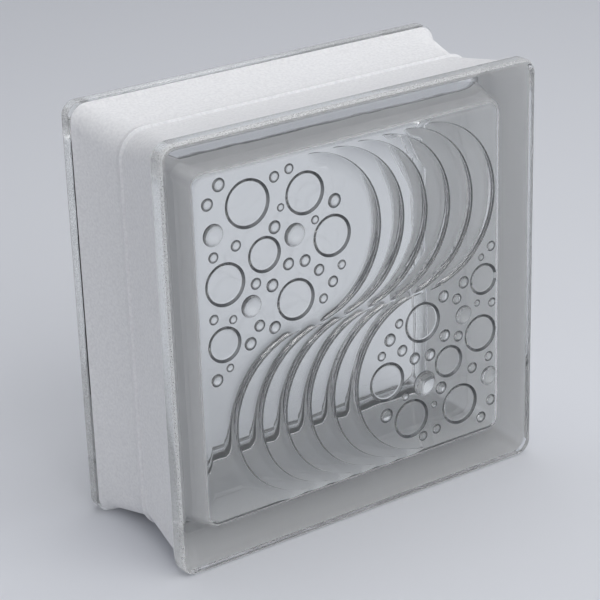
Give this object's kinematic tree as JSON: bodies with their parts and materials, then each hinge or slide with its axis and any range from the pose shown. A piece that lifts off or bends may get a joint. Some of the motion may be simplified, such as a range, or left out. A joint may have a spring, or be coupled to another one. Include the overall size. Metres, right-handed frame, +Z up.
{
  "type": "glass block",
  "caption": "Square hollow glass block with clear rims, white coated mortar channel and a wave and bubble relief inside its front face.",
  "frame": {"origin": "middle of the bottom rims, centre of the block's footprint", "axes": "+Z up as the block stands in a wall, Y through the block from face to face with the patterned face towards -Y, X along the width"},
  "size_m": [0.19, 0.08, 0.19],
  "materials": {
    "clear_glass": "pressed clear glass, fire polished",
    "white_coating": "matte white sprayed coating"
  },
  "bodies": {
    "root": {"front_shell": "clear_glass", "back_shell": "clear_glass", "edge_coating": "white_coating"}
  },
  "joints": []
}
